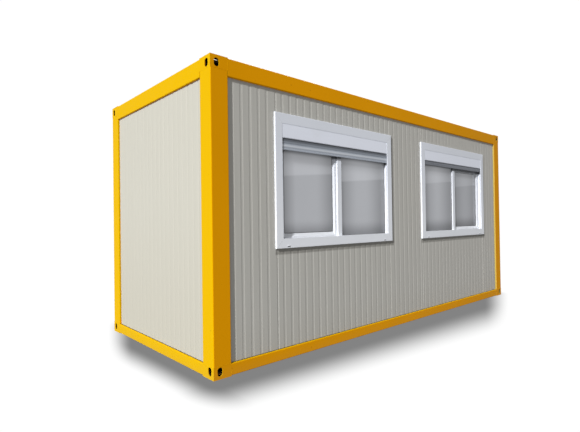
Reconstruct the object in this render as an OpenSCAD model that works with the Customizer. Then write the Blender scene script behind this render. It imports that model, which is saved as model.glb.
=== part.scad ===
/* [Cabin] */
// Length over the corner castings
cabin_l = 6055; // [5800:5:6800]
// Width over the corner castings
cabin_w = 2435; // [2300:5:2600]
// Height over the corner castings
cabin_h = 2896; // [2800:2:3100]

/* [Corner castings] */
// Height of a casting
casting_h = 118; // [112:1:150]
// Thickness of a casting's two outer walls
casting_wall = 22; // [14:1:30]
// Thickness of a casting's two inner walls
casting_inner_wall = 8; // [4:1:9]
// Thickness of a casting's top or bottom plate
casting_plate = 24; // [14:1:27]
// Width of the upright slot in each outer wall
side_slot_w = 54; // [40:1:60]
// Height of the upright slot in each outer wall
side_slot_h = 79; // [62:1:84]
// Distance of a side slot's centre from the corner edge
side_slot_edge = 66; // [58:1:74]
// Distance of a side slot's centre from the plate's face
side_slot_rise = 67; // [64:1:70]
// Length of the lifting slot in the plate
plate_slot_l = 124; // [100:1:124]
// Width of the lifting slot in the plate
plate_slot_w = 63; // [50:1:80]
// Distance of the lifting slot's centre from the end face
plate_slot_x = 101; // [90:0.5:101]
// Distance of the lifting slot's centre from the side face
plate_slot_y = 89.5; // [80:0.5:100]

/* [Posts and rails] */
// Width of a post on the long sides
post_x = 188; // [172:1:200]
// Width of a post on the ends
post_y = 187; // [165:1:215]
// Steel thickness of the posts and rails
steel_t = 6; // [3:0.5:8.5]
// Depth of the folded lip of a post
post_lip = 90; // [50:1:105]
// Outer radius of the folds in the posts and rails
fold_r = 9; // [9:0.5:15]
// Height of the bottom rails' top above the ground
bottom_rail_h = 115; // [100:1:118]
// Gap between the bottom rails and the ground
rail_foot = 5; // [2:1:15]
// Width of a bottom rail's lower flange
bottom_rail_flange = 60; // [40:1:90]
// Height of the top rails
top_rail_h = 169; // [140:1:200]
// Drop of the top rails below the castings
rail_drop = 5; // [2:1:10]
// Width of the lip along the top of a top rail
top_rail_lip = 30; // [15:1:60]
// Width of the shelf that carries the roof sheet
roof_shelf_w = 60; // [30:1:90]
// Depth of the roof shelf below the castings
roof_shelf_drop = 52; // [44:1:70]

/* [Floor, ceiling and roof] */
// Thickness of the floor deck
deck_t = 24; // [15:1:40]
// Distance between the floor beams
beam_pitch = 575; // [400:5:900]
// Width of a floor beam
beam_w = 50; // [40:1:80]
// Steel thickness of a floor beam
beam_t = 4; // [2:0.5:8]
// Thickness of the ceiling panel
ceiling_t = 60; // [40:1:80]
// Steel thickness of the roof sheet
roof_t = 2; // [1:0.5:4]
// Distance between the roof ribs
roof_rib_pitch = 200; // [150:1:300]
// Width of a roof rib at its foot
roof_rib_w = 90; // [70:1:130]
// Width of a roof rib's sloping side
roof_rib_slope = 22; // [10:1:30]
// Height of a roof rib
roof_rib_h = 28; // [15:1:30]

/* [Walls] */
// Depth of the walls' face behind the frame
wall_recess = 20; // [20:1:35]
// Thickness of the walls
wall_t = 87; // [80:1:110]
// Distance between the grooves of a wall
groove_pitch = 102; // [80:1:150]
// Distance of the first groove from a post
groove_first = 52; // [40:1:100]
// Width of a groove at the face
groove_w = 36; // [24:1:44]
// Width of a groove's sloping side
groove_slope = 10; // [4:0.5:15]
// Depth of a groove
groove_d = 2; // [1:0.5:8]
// Width of the bevel along a panel's joint
joint_w = 12; // [4:1:20]
// Depth of the bevel along a panel's joint
joint_d = 3.5; // [1:0.5:8]

/* [Windows] */
// Width of the front from the left end to the left window
left_pier_w = 740; // [400:1:1100]
// Width of the front between the windows
middle_pier_w = 727; // [300:1:1100]
// Width of the front from the right window to the right end
right_pier_w = 648; // [400:1:1100]
// Height of the windows' lower edge above the ground
window_z = 1120; // [800:5:1500]
// Height of the wall over the windows
over_window_h = 227; // [80:1:500]
// Depth by which a window stands out from the wall
window_proud = 20; // [12:1:20]
// Width by which a window laps over the wall
window_lap = 26; // [15:1:50]
// Depth of a window frame from front to back
window_depth = 130; // [120:1:160]
// Width of a window jamb
jamb_w = 92; // [70:1:120]
// Height of a window head
head_h = 103; // [70:1:130]
// Height of a window sill
sill_h = 100; // [70:1:130]
// Bevel round the window's face
window_bevel = 4; // [1:0.5:8]
// Width of the mullion
mullion_w = 74; // [60:1:110]
// Depth of the mullion's face behind the window's face
mullion_face = 32; // [24:1:38]
// Height of the transom behind the shutter
transom_h = 55; // [30:1:80]
// Thickness of a glass pane
glass_t = 4; // [3:0.5:8]
// Depth of the fixed pane behind the window's face
fixed_glass_y = 52; // [46:1:60]
// Depth of the groove that holds a pane
glass_bite = 10; // [6:1:14]
// Depth of the sliding sash behind the window's face
sash_y = 50; // [44:1:60]
// Depth of the sash from front to back
sash_d = 34; // [30:1:44]
// Width by which the sash passes behind the mullion
sash_lap = 20; // [10:1:30]
// Width of the sash's upright stiles
sash_stile = 70; // [50:1:90]
// Height of the sash's rails
sash_rail = 50; // [45:1:70]
// Depth of the glazing bead from the sash's face to its pane
bead_d = 20; // [8:1:24]
// Width of the glazing bead on a stile
bead_w = 23; // [8:1:40]
// Height of the glazing bead on a rail
bead_h = 38; // [8:1:42]

/* [Roller shutters] */
// Height of a shutter box
box_h = 147; // [120:1:180]
// Wall thickness of a shutter box
box_wall = 6; // [3:0.5:7.5]
// Radius of the box's lower front edge
box_r = 8; // [8:0.5:14]
// Set-back of the box behind the window's face
box_setback = 2; // [1:0.5:3.5]
// Depth of the curtain behind the window's face
curtain_y = 10; // [9:0.5:11.5]
// Thickness of the curtain
curtain_t = 8; // [6:0.5:9.5]
// Depth of the guide channels in the jambs
guide_bite = 15; // [8:1:20]
// Height of one slat
slat_h = 50; // [36:1:58]
// Depth by which a slat's face bulges between its edges
slat_bulge = 2.5; // [0.5:0.5:3]
// Height of the joint between two slats
slat_joint_h = 5; // [2:0.5:10]
// Depth of the joint between two slats
slat_joint_d = 2; // [0.5:0.5:2.5]
// Length of the left curtain that hangs below its box
left_curtain_drop = 103; // [40:1:300]
// Length of the right curtain that hangs below its box
right_curtain_drop = 58; // [40:1:300]
// Length of a curtain that stays in its box
curtain_tail = 40; // [20:1:60]

/* [Door at the rear] */
// Distance of the door from the right end
door_x = 700; // [400:5:4500]
// Width of the door frame
door_w = 960; // [860:5:1100]
// Height of the door frame
door_h = 2090; // [1950:5:2200]
// Width of the door frame's jambs and head
door_jamb = 50; // [30:1:70]
// Height of the threshold
threshold_h = 30; // [20:1:45]
// Depth by which the door frame stands out from the wall
door_proud = 6; // [2:1:12]
// Set-back of the leaf behind the door frame's face
leaf_setback = 34; // [32:1:36]
// Thickness of the door leaf
leaf_t = 45; // [35:1:50]
// Width of the stop that the leaf closes against
door_stop = 18; // [10:1:30]
// Gap around the leaf
leaf_gap = 3; // [2:0.5:6]
// Height of the handles above the threshold
handle_z = 1020; // [850:5:1150]
// Distance of the handles from the leaf's edge
handle_inset = 65; // [45:1:90]
// Height of a handle plate
handle_plate_h = 220; // [150:1:260]
// Width of a handle plate
handle_plate_w = 40; // [32:1:55]
// Thickness of a handle plate
handle_plate_t = 6; // [4:0.5:8]
// Radius of the lever and its neck
lever_r = 8; // [6:0.5:10]
// Length of the lever
lever_l = 125; // [90:1:150]
// Reach of the lever from its plate
lever_reach = 30; // [24:1:33]
// Height of a hinge
hinge_h = 110; // [80:1:160]
// Radius of a hinge barrel
hinge_r = 9; // [7:0.5:10]
// Width of a hinge wing
hinge_wing = 34; // [24:1:46]
// Thickness of a hinge wing
hinge_t = 4; // [3:0.5:6]

/* [Hidden] */
$fn = 48;
// Overrun of a cut past the face that it opens
cut = 10;
// Clearance of a sliding or glazed fit
fit_gap = 0.3;
// Places of the hinges up the leaf
hinge_shares = [0.12, 0.5, 0.88];
// Place of the lever up its plate
lever_share = 0.7;
// Steps up the face of a slat from its lower to its upper edge
slat_shares = [0, 0.12, 0.3, 0.5, 0.7, 0.88, 1];
// Steps round a fold
fold_shares = [0, 0.25, 0.5, 0.75, 1];
wall_back = wall_recess + wall_t;
wall_foot = bottom_rail_h;
wall_top = cabin_h - rail_drop - top_rail_h;
wall_h = wall_top - wall_foot;
rail_top_z = cabin_h - rail_drop;
shelf_z = cabin_h - roof_shelf_drop;
long_rail_l = cabin_l - 2 * post_x;
end_rail_l = cabin_w - 2 * post_y;
deck_z = bottom_rail_h - steel_t;
ceiling_z = wall_top + steel_t;
beam_h = bottom_rail_h - rail_foot - 2 * steel_t;
beam_l = cabin_w - 2 * fold_r;
beam_n = floor(long_rail_l / beam_pitch);
window_w = (cabin_l - left_pier_w - middle_pier_w - right_pier_w) / 2;
window_h = wall_top - over_window_h - window_z;
left_window_x = left_pier_w;
right_window_x = left_pier_w + window_w + middle_pier_w;
opening_w = window_w - 2 * jamb_w;
box_top = window_h - head_h;
box_z = box_top - box_h;
transom_z = box_z - transom_h;
window_y = wall_recess - window_proud;
hole_w = window_w - 2 * window_lap;
hole_z = window_z + window_lap;
hole_top = window_z + window_h - window_lap;
mullion_x = (window_w - mullion_w) / 2;
mullion_d = sash_y - mullion_face - fit_gap;
sash_w = mullion_x - jamb_w + sash_lap;
sash_h = transom_z - sill_h;
sash_glass_y = sash_y + bead_d;
leaf_w = door_w - 2 * door_jamb - 2 * leaf_gap;
leaf_h = door_h - door_jamb - threshold_h - 2 * leaf_gap;
door_d = wall_t + door_proud;

// A straight slot with round ends, along X, cut through Z
module slot(length, width, depth) {
  cube([length - width, width, depth], center = true);
  for (side = [-1, 1])
    translate([side * (length - width) / 2, 0, 0])
      cylinder(h = depth, d = width, center = true);
}

// Turn over to the other end or the other side
module to_right(on) {
  if (on) mirror([1, 0, 0]) children();
  else children();
}

module to_rear(on) {
  if (on) mirror([0, 1, 0]) children();
  else children();
}

// Place a piece drawn from the front left corner at any corner
module at_corner(right, rear) {
  to_right(right) to_rear(rear)
    translate([-cabin_l / 2, -cabin_w / 2, 0]) children();
}

// Place a piece drawn from a wall's left corner, seen from outside
module on_front() {
  translate([-cabin_l / 2, -cabin_w / 2, 0]) children();
}

module on_rear() {
  translate([cabin_l / 2, cabin_w / 2, 0]) rotate(180) children();
}

module on_left() {
  translate([-cabin_l / 2, cabin_w / 2, 0]) rotate(-90) children();
}

module on_right() {
  translate([cabin_l / 2, -cabin_w / 2, 0]) rotate(90) children();
}

// Casting at the front left corner, standing on its plate
module casting() {
  inner_x = post_x - casting_wall - casting_inner_wall;
  inner_y = post_y - casting_wall - casting_inner_wall;
  difference() {
    cube([post_x, post_y, casting_h]);
    translate([casting_wall, casting_wall, casting_plate])
      cube([inner_x, inner_y, casting_h]);
    translate([plate_slot_x, plate_slot_y, casting_plate / 2])
      slot(plate_slot_l, plate_slot_w, casting_plate + cut);
    translate([side_slot_edge, casting_wall / 2, side_slot_rise])
      rotate([0, 90, 90]) slot(side_slot_h, side_slot_w, casting_wall + cut);
    translate([casting_wall / 2, side_slot_edge, side_slot_rise])
      rotate([0, 90, 0]) slot(side_slot_h, side_slot_w, casting_wall + cut);
  }
}

module bottom_corner_castings() {
  color("gold")
    for (right = [false, true])
      for (rear = [false, true])
        at_corner(right, rear) casting();
}

module top_corner_castings() {
  color("gold")
    for (right = [false, true])
      for (rear = [false, true])
        at_corner(right, rear)
          translate([0, 0, cabin_h]) mirror([0, 0, 1]) casting();
}

// Points round a fold of radius r about a centre, from one angle to another
function fold(x, y, r, from, to) = [
  for (share = fold_shares)
    let (a = from + share * (to - from)) [x + r * cos(a), y + r * sin(a)]
];

// Folded post: two broad faces with a lip along each free edge
module post() {
  bend = fold_r - steel_t;
  far_x = post_x - fold_r;
  far_y = post_y - fold_r;
  translate([0, 0, casting_h])
    linear_extrude(height = cabin_h - 2 * casting_h)
      polygon(concat(
        fold(fold_r, fold_r, fold_r, 180, 270),
        fold(far_x, fold_r, fold_r, 270, 360),
        [[post_x, post_lip], [post_x - steel_t, post_lip]],
        fold(far_x, fold_r, bend, 360, 270),
        fold(fold_r, fold_r, bend, 270, 180),
        fold(fold_r, far_y, bend, 180, 90),
        [[post_lip, post_y - steel_t], [post_lip, post_y]],
        fold(fold_r, far_y, fold_r, 90, 180)
      ));
}

module front_left_post() {
  color("gold") at_corner(false, false) post();
}

module front_right_post() {
  color("gold") at_corner(true, false) post();
}

module rear_left_post() {
  color("gold") at_corner(false, true) post();
}

module rear_right_post() {
  color("gold") at_corner(true, true) post();
}

// Channel that carries a wall on its upper flange
module bottom_rail(from, length) {
  translate([from, 0, 0]) rotate([90, 0, 90])
    linear_extrude(height = length)
      polygon(concat(
        fold(fold_r, rail_foot + fold_r, fold_r, 180, 270),
        [[bottom_rail_flange, rail_foot], [bottom_rail_flange, rail_foot + steel_t]],
        fold(fold_r, rail_foot + fold_r, fold_r - steel_t, 270, 180),
        fold(fold_r, bottom_rail_h - fold_r, fold_r - steel_t, 180, 90),
        [[wall_back, bottom_rail_h - steel_t], [wall_back, bottom_rail_h]],
        fold(fold_r, bottom_rail_h - fold_r, fold_r, 90, 180)
      ));
}

module front_bottom_rail() {
  color("gold") on_front() bottom_rail(post_x, long_rail_l);
}

module rear_bottom_rail() {
  color("gold") on_rear() bottom_rail(post_x, long_rail_l);
}

module left_bottom_rail() {
  color("gold") on_left() bottom_rail(post_y, end_rail_l);
}

module right_bottom_rail() {
  color("gold") on_right() bottom_rail(post_y, end_rail_l);
}

// Rail with a flange over the wall, a shelf for the roof and a top lip
module top_rail(from, length) {
  translate([from, 0, 0]) rotate([90, 0, 90])
    linear_extrude(height = length)
      polygon(concat(
        fold(fold_r, wall_top + fold_r, fold_r, 180, 270),
        [[wall_back, wall_top], [wall_back, ceiling_z], [steel_t, ceiling_z]],
        [[steel_t, shelf_z - steel_t], [roof_shelf_w, shelf_z - steel_t]],
        [[roof_shelf_w, shelf_z], [steel_t, shelf_z]],
        fold(fold_r, rail_top_z - fold_r, fold_r - steel_t, 180, 90),
        [[top_rail_lip, rail_top_z - steel_t], [top_rail_lip, rail_top_z]],
        fold(fold_r, rail_top_z - fold_r, fold_r, 90, 180)
      ));
}

module front_top_rail() {
  color("gold") on_front() top_rail(post_x, long_rail_l);
}

module rear_top_rail() {
  color("gold") on_rear() top_rail(post_x, long_rail_l);
}

module left_top_rail() {
  color("gold") on_left() top_rail(post_y, end_rail_l);
}

module right_top_rail() {
  color("gold") on_right() top_rail(post_y, end_rail_l);
}

// Notches that clear the four corners
module corner_notches(z, height) {
  for (right = [false, true])
    for (rear = [false, true])
      at_corner(right, rear)
        translate([-cut, -cut, z - cut])
          cube([post_x + cut, post_y + cut, height + 2 * cut]);
}

module floor_beams() {
  color("gray")
    for (i = [1 : beam_n - 1])
      translate([
        -long_rail_l / 2 + i * long_rail_l / beam_n - beam_w / 2,
        beam_l / 2, rail_foot + steel_t
      ])
        rotate([90, 0, 0]) linear_extrude(height = beam_l)
          polygon([
            [0, 0], [beam_w, 0], [beam_w, beam_t], [beam_t, beam_t],
            [beam_t, beam_h - beam_t], [beam_w, beam_h - beam_t],
            [beam_w, beam_h], [0, beam_h]
          ]);
}

module floor_deck() {
  deck_l = cabin_l - 2 * wall_back;
  deck_w = cabin_w - 2 * wall_back;
  color("sienna")
    difference() {
      translate([-deck_l / 2, -deck_w / 2, deck_z]) cube([deck_l, deck_w, deck_t]);
      corner_notches(deck_z, deck_t);
    }
}

module ceiling_panel() {
  ceiling_l = cabin_l - 2 * steel_t;
  ceiling_w = cabin_w - 2 * steel_t;
  color("whitesmoke")
    difference() {
      translate([-ceiling_l / 2, -ceiling_w / 2, ceiling_z])
        cube([ceiling_l, ceiling_w, ceiling_t]);
      corner_notches(ceiling_z, ceiling_t);
    }
}

// Sheet with raised ribs across the cabin, laid on the shelves
function roof_rib(c, lift) = [
  [c - roof_rib_w / 2, lift],
  [c - roof_rib_w / 2 + roof_rib_slope, lift + roof_rib_h],
  [c + roof_rib_w / 2 - roof_rib_slope, lift + roof_rib_h],
  [c + roof_rib_w / 2, lift]
];

module roof_sheet() {
  roof_l = cabin_l - 2 * steel_t;
  roof_w = cabin_w - 2 * steel_t;
  rib_n = floor((roof_l - 2 * roof_shelf_w - roof_rib_w) / roof_rib_pitch);
  centres = [for (i = [0 : rib_n]) (i - rib_n / 2) * roof_rib_pitch];
  upper = [for (c = centres) for (p = roof_rib(c, roof_t)) p];
  lower = [for (i = [0 : rib_n]) for (j = [0 : 3]) roof_rib(centres[rib_n - i], 0)[3 - j]];
  color("lightsteelblue")
    difference() {
      translate([0, roof_w / 2, shelf_z])
        rotate([90, 0, 0]) linear_extrude(height = roof_w)
          polygon(concat(
            [[-roof_l / 2, 0], [-roof_l / 2, roof_t]], upper,
            [[roof_l / 2, roof_t], [roof_l / 2, 0]], lower
          ));
      corner_notches(shelf_z, roof_rib_h);
    }
}

// Wall panel between two places along a wall, grooved on its face and bevelled at its joints
function groove(c) = [
  [c - groove_w / 2, 0],
  [c - groove_w / 2 + groove_slope, groove_d],
  [c + groove_w / 2 - groove_slope, groove_d],
  [c + groove_w / 2, 0]
];

module panel(from, to, start, foot, height) {
  first = start + groove_first;
  last_i = floor((to - first) / groove_pitch);
  centres = [
    for (i = [0 : last_i])
      let (c = first + i * groove_pitch)
        if (c - groove_w / 2 > from + joint_w && c + groove_w / 2 < to - joint_w) c
  ];
  translate([0, wall_recess, foot])
    linear_extrude(height = height)
      polygon(concat(
        [[from, joint_d], [from + joint_w, 0]],
        [for (c = centres) for (p = groove(c)) p],
        [[to - joint_w, 0], [to, joint_d], [to, wall_t], [from, wall_t]]
      ));
}

module front_wall_left() {
  color("lightgray") on_front()
    panel(post_x, left_window_x + window_lap, post_x, wall_foot, wall_h);
}

module front_wall_middle() {
  color("lightgray") on_front()
    panel(left_window_x + window_w - window_lap, right_window_x + window_lap,
      post_x, wall_foot, wall_h);
}

module front_wall_right() {
  color("lightgray") on_front()
    panel(right_window_x + window_w - window_lap, cabin_l - post_x,
      post_x, wall_foot, wall_h);
}

module front_wall_over_windows() {
  color("lightgray") on_front()
    for (x = [left_window_x, right_window_x])
      panel(x + window_lap, x + window_lap + hole_w,
        post_x, hole_top, wall_top - hole_top);
}

module front_wall_under_windows() {
  color("lightgray") on_front()
    for (x = [left_window_x, right_window_x])
      panel(x + window_lap, x + window_lap + hole_w,
        post_x, wall_foot, hole_z - wall_foot);
}

module left_end_wall() {
  color("lightgray") on_left()
    panel(post_y, cabin_w - post_y, post_y, wall_foot, wall_h);
}

module right_end_wall() {
  color("lightgray") on_right()
    panel(post_y, cabin_w - post_y, post_y, wall_foot, wall_h);
}

module rear_wall_left() {
  color("lightgray") on_rear()
    panel(post_x, door_x, post_x, wall_foot, wall_h);
}

module rear_wall_right() {
  color("lightgray") on_rear()
    panel(door_x + door_w, cabin_l - post_x, post_x, wall_foot, wall_h);
}

module rear_wall_over_door() {
  color("lightgray") on_rear()
    panel(door_x, door_x + door_w, post_x, wall_foot + door_h, wall_h - door_h);
}

// Windows are drawn from their lower left corner with the sash on the left
module at_left_window() {
  on_front() translate([left_window_x, window_y, window_z]) children();
}

module at_right_window() {
  on_front() translate([right_window_x + window_w, window_y, window_z])
    mirror([1, 0, 0]) children();
}

// Block with four sloping sides: w by h at its front, wider by spread_x and spread_z at depth d
module sloped_block(w, h, d, spread_x, spread_z) {
  intersection() {
    translate([0, 0, -abs(spread_z) - cut])
      linear_extrude(height = h + 2 * abs(spread_z) + 2 * cut)
        polygon([[0, 0], [w, 0], [w + spread_x, d], [-spread_x, d]]);
    translate([-abs(spread_x) - cut, 0, 0]) rotate([90, 0, 90])
      linear_extrude(height = w + 2 * abs(spread_x) + 2 * cut)
        polygon([[0, 0], [d, -spread_z], [d, h + spread_z], [0, h]]);
  }
}

// Flange that laps over the wall, bevelled round its face
module window_flange() {
  face_w = window_w - 2 * window_bevel;
  face_h = window_h - 2 * window_bevel;
  translate([window_bevel, 0, window_bevel])
    sloped_block(face_w, face_h, window_bevel, window_bevel, window_bevel);
  translate([0, window_bevel, 0])
    cube([window_w, window_proud - window_bevel, window_h]);
}

// Mullion, with a web on the fixed pane's side that the sash closes against
module window_mullion() {
  web_x = mullion_x + sash_lap + fit_gap;
  web_w = mullion_w - sash_lap - fit_gap;
  high = transom_z - sill_h;
  face_w = mullion_w - 2 * window_bevel;
  translate([mullion_x + window_bevel, mullion_face, sill_h])
    linear_extrude(height = high)
      polygon([
        [0, 0], [face_w, 0], [face_w + window_bevel, window_bevel],
        [face_w + window_bevel, mullion_d], [-window_bevel, mullion_d],
        [-window_bevel, window_bevel]
      ]);
  translate([web_x, mullion_face + window_bevel, sill_h])
    cube([web_w, sash_y + sash_d - mullion_face - window_bevel, high]);
}

// Welded frame with its mullion, its shutter guides and the fixed pane's groove
module window_frame() {
  back_d = window_depth - mullion_face;
  difference() {
    union() {
      difference() {
        union() {
          window_flange();
          translate([window_lap, window_bevel, window_lap])
            cube([hole_w, window_depth - window_bevel, window_h - 2 * window_lap]);
        }
        translate([jamb_w, -cut, sill_h])
          cube([opening_w, window_depth + 2 * cut, box_top - sill_h]);
        translate([jamb_w - guide_bite, curtain_y - fit_gap, sill_h])
          cube([opening_w + 2 * guide_bite, curtain_t + 2 * fit_gap, box_top - sill_h]);
      }
      translate([jamb_w, mullion_face, transom_z])
        cube([opening_w, back_d, transom_h]);
      window_mullion();
    }
    translate([
      mullion_x + mullion_w - glass_bite - fit_gap, fixed_glass_y - fit_gap,
      sill_h - glass_bite - fit_gap
    ])
      cube([
        fixed_glass_w() + 2 * fit_gap, glass_t + 2 * fit_gap,
        glass_h() + 2 * fit_gap
      ]);
  }
}

function fixed_glass_w() = window_w - jamb_w - mullion_x - mullion_w + 2 * glass_bite;
function glass_h() = transom_z - sill_h + 2 * glass_bite;
function sash_glass_w() = sash_w - 2 * sash_stile + 2 * glass_bite;
function sash_glass_h() = sash_h - 2 * sash_rail + 2 * glass_bite;

// Sliding sash with a sloping bead round its pane
module window_sash() {
  pane_w = sash_w - 2 * sash_stile;
  pane_h = sash_h - 2 * sash_rail;
  translate([jamb_w, sash_y, sill_h])
    difference() {
      cube([sash_w, sash_d, sash_h]);
      translate([sash_stile, -cut, sash_rail])
        cube([pane_w, sash_d + 2 * cut, pane_h]);
      translate([sash_stile - bead_w, 0, sash_rail - bead_h])
        sloped_block(pane_w + 2 * bead_w, pane_h + 2 * bead_h, bead_d, -bead_w, -bead_h);
      translate([
        sash_stile - glass_bite - fit_gap, sash_glass_y - sash_y - fit_gap,
        sash_rail - glass_bite - fit_gap
      ])
        cube([
          sash_glass_w() + 2 * fit_gap, glass_t + 2 * fit_gap,
          sash_glass_h() + 2 * fit_gap
        ]);
    }
}

module window_glass() {
  translate([mullion_x + mullion_w - glass_bite, fixed_glass_y, sill_h - glass_bite])
    cube([fixed_glass_w(), glass_t, glass_h()]);
  translate([
    jamb_w + sash_stile - glass_bite, sash_glass_y, sill_h + sash_rail - glass_bite
  ])
    cube([sash_glass_w(), glass_t, sash_glass_h()]);
}

// Box between the jambs, open below where the curtain hangs out
module shutter_box() {
  box_d = window_depth - box_setback;
  inner_r = box_r - box_wall;
  translate([jamb_w, box_setback, box_z])
    difference() {
      rotate([90, 0, 90]) linear_extrude(height = opening_w)
        polygon(concat(
          fold(box_r, box_r, box_r, 180, 270),
          [[box_d, 0], [box_d, box_h], [0, box_h]]
        ));
      translate([-cut, 0, 0]) rotate([90, 0, 90])
        linear_extrude(height = opening_w + 2 * cut)
          polygon(concat(
            fold(box_r, box_r, inner_r, 180, 270),
            [[box_d - box_wall, box_wall], [box_d - box_wall, box_h - box_wall]],
            [[box_wall, box_h - box_wall]]
          ));
      translate([-cut, curtain_y - box_setback - fit_gap, -cut])
        cube([opening_w + 2 * cut, curtain_t + 2 * fit_gap, box_wall + 2 * cut]);
    }
}

// Curtain of curved slats with a sunk joint between each two
function slat_face(foot) = concat(
  [[slat_bulge + slat_joint_d, foot]],
  [
    for (share = slat_shares)
      [
        slat_bulge * (1 - 2 * share) * (1 - 2 * share),
        foot + slat_joint_h / 2 + share * (slat_h - slat_joint_h)
      ]
  ],
  [[slat_bulge + slat_joint_d, foot + slat_h]]
);

module shutter_curtain(drop) {
  slat_n = ceil((drop + curtain_tail) / slat_h);
  face = [for (i = [0 : slat_n - 1]) for (p = slat_face(i * slat_h)) p];
  reach = opening_w + 2 * guide_bite - 2 * fit_gap;
  translate([jamb_w - guide_bite + fit_gap, curtain_y, box_z - drop])
    rotate([90, 0, 90]) linear_extrude(height = reach)
      polygon(concat(face, [[curtain_t, slat_n * slat_h], [curtain_t, 0]]));
}

module left_window_frame() {
  color("white") at_left_window() window_frame();
}

module left_window_sash() {
  color("white") at_left_window() window_sash();
}

module left_window_glass() {
  color("lightblue") at_left_window() window_glass();
}

module left_shutter_box() {
  color("white") at_left_window() shutter_box();
}

module left_shutter_curtain() {
  color("slategray") at_left_window() shutter_curtain(left_curtain_drop);
}

module right_window_frame() {
  color("white") at_right_window() window_frame();
}

module right_window_sash() {
  color("white") at_right_window() window_sash();
}

module right_window_glass() {
  color("lightblue") at_right_window() window_glass();
}

module right_shutter_box() {
  color("white") at_right_window() shutter_box();
}

module right_shutter_curtain() {
  color("slategray") at_right_window() shutter_curtain(right_curtain_drop);
}

// The door is drawn from its frame's lower left corner, seen from outside
module at_door() {
  on_rear() translate([door_x, wall_recess - door_proud, wall_foot]) children();
}

module door_frame() {
  pocket_w = door_w - 2 * door_jamb;
  pocket_h = door_h - door_jamb - threshold_h;
  color("white") at_door()
    difference() {
      cube([door_w, door_d, door_h]);
      translate([door_jamb, -cut, threshold_h])
        cube([pocket_w, leaf_setback + leaf_t + cut, pocket_h]);
      translate([door_jamb + door_stop, 0, threshold_h])
        cube([pocket_w - 2 * door_stop, door_d + cut, pocket_h - door_stop]);
    }
}

module at_leaf() {
  at_door()
    translate([door_jamb + leaf_gap, leaf_setback, threshold_h + leaf_gap]) children();
}

module door_leaf() {
  color("lightgray") at_leaf() cube([leaf_w, leaf_t, leaf_h]);
}

// Plate with a neck and a lever, standing out along Z
module handle() {
  lever_z = handle_plate_t + lever_reach;
  translate([-handle_plate_w / 2, -handle_plate_h * lever_share, 0])
    cube([handle_plate_w, handle_plate_h, handle_plate_t]);
  cylinder(h = lever_z, r = lever_r);
  translate([0, 0, lever_z]) sphere(r = lever_r);
  translate([0, 0, lever_z]) rotate([0, 90, 0]) cylinder(h = lever_l, r = lever_r);
}

module door_handles() {
  color("silver") at_leaf()
    translate([handle_inset, 0, handle_z]) {
      rotate([90, 0, 0]) handle();
      translate([0, leaf_t, 0]) mirror([0, 1, 0]) rotate([90, 0, 0]) handle();
    }
}

// Hinge wing on the leaf with its barrel beside the jamb
module hinge() {
  translate([-hinge_wing, -hinge_t, 0]) cube([hinge_wing, hinge_t, hinge_h]);
  translate([0, -hinge_r, 0]) cylinder(h = hinge_h, r = hinge_r);
}

module door_hinges() {
  color("silver") at_leaf()
    for (share = hinge_shares)
      translate([leaf_w + leaf_gap - hinge_r - fit_gap, 0, share * leaf_h - hinge_h / 2])
        hinge();
}

bottom_corner_castings();
top_corner_castings();
front_left_post();
front_right_post();
rear_left_post();
rear_right_post();
front_bottom_rail();
rear_bottom_rail();
left_bottom_rail();
right_bottom_rail();
front_top_rail();
rear_top_rail();
left_top_rail();
right_top_rail();
floor_beams();
floor_deck();
ceiling_panel();
roof_sheet();
front_wall_left();
front_wall_middle();
front_wall_right();
front_wall_over_windows();
front_wall_under_windows();
left_end_wall();
right_end_wall();
rear_wall_left();
rear_wall_right();
rear_wall_over_door();
left_window_frame();
left_window_sash();
left_window_glass();
left_shutter_box();
left_shutter_curtain();
right_window_frame();
right_window_sash();
right_window_glass();
right_shutter_box();
right_shutter_curtain();
door_frame();
door_leaf();
door_handles();
door_hinges();
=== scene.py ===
import math

import bmesh
import bpy
from mathutils import Matrix, Vector


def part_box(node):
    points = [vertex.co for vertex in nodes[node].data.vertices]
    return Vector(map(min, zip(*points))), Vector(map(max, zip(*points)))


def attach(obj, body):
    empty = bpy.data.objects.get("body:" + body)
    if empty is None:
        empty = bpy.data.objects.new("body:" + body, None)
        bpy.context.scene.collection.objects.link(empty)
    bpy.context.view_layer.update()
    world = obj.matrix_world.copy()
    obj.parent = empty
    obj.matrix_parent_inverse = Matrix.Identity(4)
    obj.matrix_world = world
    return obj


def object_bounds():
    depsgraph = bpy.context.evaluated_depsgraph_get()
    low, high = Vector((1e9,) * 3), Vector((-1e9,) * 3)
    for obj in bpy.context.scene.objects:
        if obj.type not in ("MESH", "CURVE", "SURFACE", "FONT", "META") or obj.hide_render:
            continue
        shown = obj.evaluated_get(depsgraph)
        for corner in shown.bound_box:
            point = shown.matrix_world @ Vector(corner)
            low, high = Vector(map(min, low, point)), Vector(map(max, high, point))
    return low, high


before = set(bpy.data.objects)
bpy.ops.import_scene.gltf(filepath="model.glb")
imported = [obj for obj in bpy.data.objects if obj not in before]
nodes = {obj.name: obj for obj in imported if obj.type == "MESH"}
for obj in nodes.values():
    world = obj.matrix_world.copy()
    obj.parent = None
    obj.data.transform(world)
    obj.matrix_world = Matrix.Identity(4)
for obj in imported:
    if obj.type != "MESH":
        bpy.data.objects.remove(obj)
cad_low, cad_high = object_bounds()


# Corner castings: eight hollow steel boxes with oval slots for lifting hooks and couplings.
# They are cast, blasted and sprayed with yellow enamel along with the frame.
# The spray doesn't reach far through the slots; past a thin lip the inside is painted near black, grime and
# painted shade together.

half_l, half_w, cabin_h = (round(size, 4) for size in cad_high)
mid_z = cabin_h / 2
black = (0.0, 0.0, 0.0, 1.0)


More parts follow.
